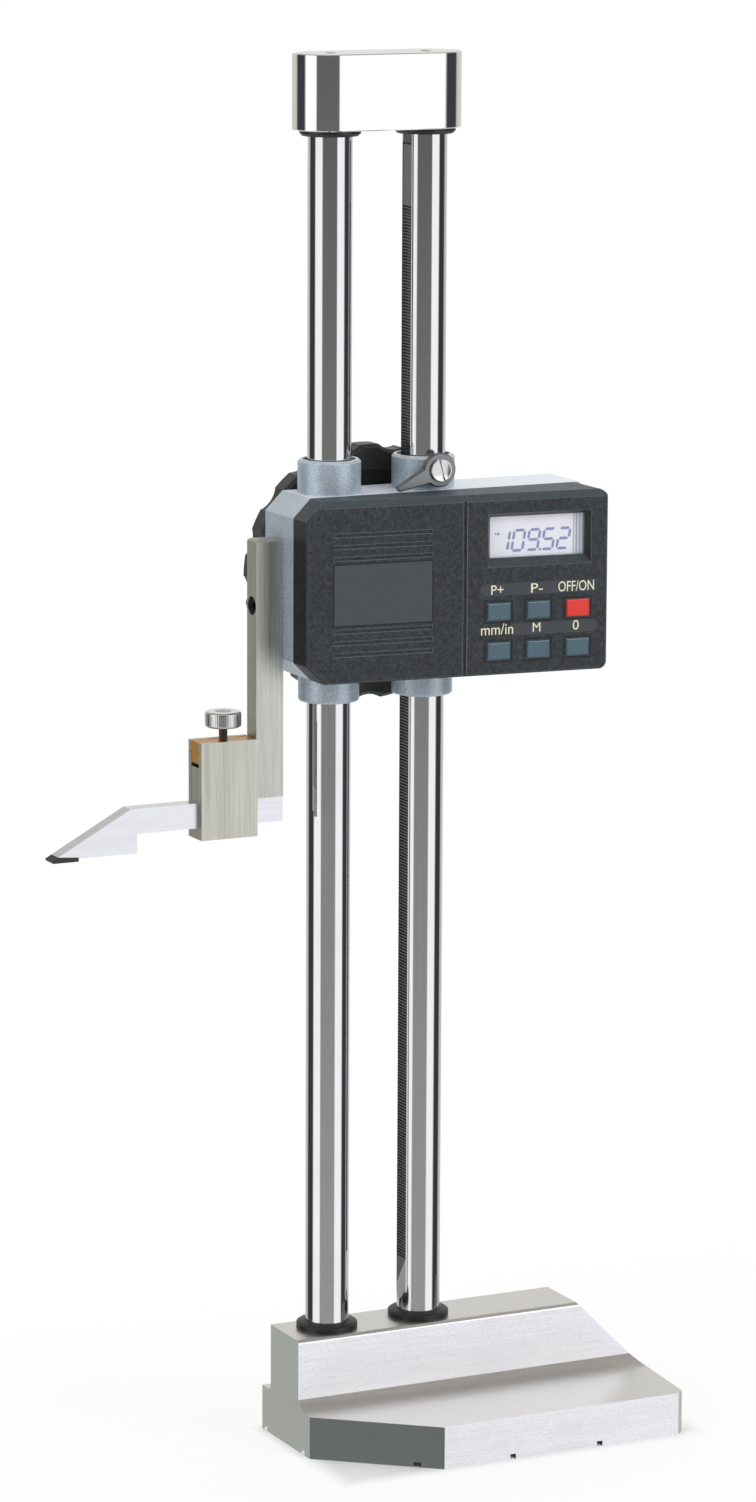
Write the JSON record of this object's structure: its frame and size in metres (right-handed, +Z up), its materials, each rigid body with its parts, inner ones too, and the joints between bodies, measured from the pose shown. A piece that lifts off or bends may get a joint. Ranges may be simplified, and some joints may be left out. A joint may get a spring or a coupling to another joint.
{
  "type": "digital height gauge",
  "caption": "Digital height gauge with twin round columns on a heavy base, a sliding electronic head with display and keys, a rear feed handwheel and a clamped carbide scriber.",
  "frame": {"origin": "on the plane of the base's underside, midway between the axes of the two columns", "axes": "+Z up along the columns, +X towards the display end of the head, +Y from the display towards the handwheel at the back"},
  "size_m": [0.3326, 0.1164, 0.7134],
  "materials": {
    "base_iron": "ground",
    "column_steel": "polished",
    "cap_steel": "satin",
    "rack_steel": "machined",
    "ring_black": "moulded",
    "bolt_black": "blackened",
    "body_grey": "satin",
    "bush_brass": "machined",
    "cover_black": "fine texture",
    "plate_dark": "smooth",
    "window_clear": "clear",
    "lcd_pale": "satin",
    "board_green": "satin",
    "mat_rubber": "matt",
    "holder_black": "moulded",
    "battery_steel": "satin",
    "sensor_black": "moulded",
    "button_slate": "smooth",
    "button_red": "smooth",
    "wheel_black": "moulded",
    "screw_steel": "machined",
    "shaft_steel": "ground",
    "disc_steel": "etched",
    "lever_steel": "satin",
    "arm_steel": "ground",
    "box_steel": "ground",
    "nut_brass": "machined",
    "thumb_chrome": "polished",
    "scriber_steel": "ground",
    "tip_carbide": "ground"
  },
  "bodies": {
    "stand": {"base": "base_iron", "column_left": "column_steel", "column_right": "column_steel", "rack": "rack_steel", "rack_end_block": "rack_steel", "foot_ring_left": "ring_black", "foot_ring_right": "ring_black", "cap_ring_left": "ring_black", "cap_ring_right": "ring_black", "top_cap": "cap_steel", "column_bolts": "bolt_black", "cap_screws": "bolt_black"},
    "slider": {"slider_body": "body_grey", "column_bush_upper_left": "bush_brass", "column_bush_upper_right": "bush_brass", "column_bush_lower_left": "bush_brass", "column_bush_lower_right": "bush_brass", "front_cover": "cover_black", "cover_screws": "screw_steel", "lcd_window": "window_clear", "lcd_panel": "lcd_pale", "circuit_board": "board_green", "keypad_mat": "mat_rubber", "blank_plate": "plate_dark", "battery_holder": "holder_black", "battery": "battery_steel", "encoder_bush": "bush_brass", "encoder_sensor": "sensor_black", "pinion_housing": "screw_steel", "housing_screws": "screw_steel", "clamp_pad": "bush_brass", "scriber_arm": "arm_steel", "arm_screw": "bolt_black", "clamp_box": "box_steel", "clamp_nut": "nut_brass"},
    "feed_wheel": {"handwheel": "wheel_black", "drive_shaft": "shaft_steel", "drive_pinion": "shaft_steel", "wheel_screw": "screw_steel"},
    "encoder": {"encoder_shaft": "shaft_steel", "encoder_pinion": "shaft_steel", "encoder_disc": "disc_steel"},
    "clamp": {"clamp_lever": "lever_steel", "clamp_screw": "lever_steel"},
    "thumb_screw": {"thumb_screw": "thumb_chrome"},
    "scriber": {"scriber": "scriber_steel", "scriber_tip": "tip_carbide"},
    "button_preset_up": {"button_preset_up": "button_slate"},
    "button_preset_down": {"button_preset_down": "button_slate"},
    "button_power": {"button_power": "button_red"},
    "button_unit": {"button_unit": "button_slate"},
    "button_mode": {"button_mode": "button_slate"},
    "button_zero": {"button_zero": "button_slate"}
  },
  "joints": [
    {"name": "slider_lift", "type": "slide", "parent": "stand", "child": "slider", "axis": [0, 0, 1], "range_m": [-0.317, 0.155]},
    {"name": "wheel_spin", "type": "hinge", "parent": "slider", "child": "feed_wheel", "pos_m": [0.0066, 0.026, 0.4484], "axis": [0, 1, 0], "range_deg": [-1735, 850]},
    {"name": "encoder_spin", "type": "hinge", "parent": "slider", "child": "encoder", "pos_m": [0.0121, -0.01, 0.425], "axis": [0, 1, 0], "range_deg": [-3640, 1780]},
    {"name": "clamp_swing", "type": "hinge", "parent": "slider", "child": "clamp", "pos_m": [0.02635, -0.0184, 0.5046], "axis": [0, 1, 0], "range_deg": [0, 75]},
    {"name": "thumb_turn", "type": "hinge", "parent": "slider", "child": "thumb_screw", "pos_m": [-0.08505, 0, 0.3823], "axis": [0, 0, 1], "range_deg": [0, 360]},
    {"name": "scriber_slide", "type": "slide", "parent": "slider", "child": "scriber", "axis": [-1, 0, 0], "range_m": [0, 0.012]},
    {"name": "preset_up_press", "type": "slide", "parent": "slider", "child": "button_preset_up", "axis": [0.0923, 0.9957, 0], "range_m": [0, 0.0008], "stiffness_N_per_m": 1500, "springref_m": -0.0003},
    {"name": "preset_down_press", "type": "slide", "parent": "slider", "child": "button_preset_down", "axis": [0.0923, 0.9957, 0], "range_m": [0, 0.0008], "stiffness_N_per_m": 1500, "springref_m": -0.0003},
    {"name": "power_press", "type": "slide", "parent": "slider", "child": "button_power", "axis": [0.0923, 0.9957, 0], "range_m": [0, 0.0008], "stiffness_N_per_m": 1500, "springref_m": -0.0003},
    {"name": "unit_press", "type": "slide", "parent": "slider", "child": "button_unit", "axis": [0.0923, 0.9957, 0], "range_m": [0, 0.0008], "stiffness_N_per_m": 1500, "springref_m": -0.0003},
    {"name": "mode_press", "type": "slide", "parent": "slider", "child": "button_mode", "axis": [0.0923, 0.9957, 0], "range_m": [0, 0.0008], "stiffness_N_per_m": 1500, "springref_m": -0.0003},
    {"name": "zero_press", "type": "slide", "parent": "slider", "child": "button_zero", "axis": [0.0923, 0.9957, 0], "range_m": [0, 0.0008], "stiffness_N_per_m": 1500, "springref_m": -0.0003}
  ],
  "couplings": [
    {"joint": "wheel_spin", "follows": "slider_lift", "rad_per_m": 95.238},
    {"joint": "encoder_spin", "follows": "slider_lift", "rad_per_m": 200}
  ]
}
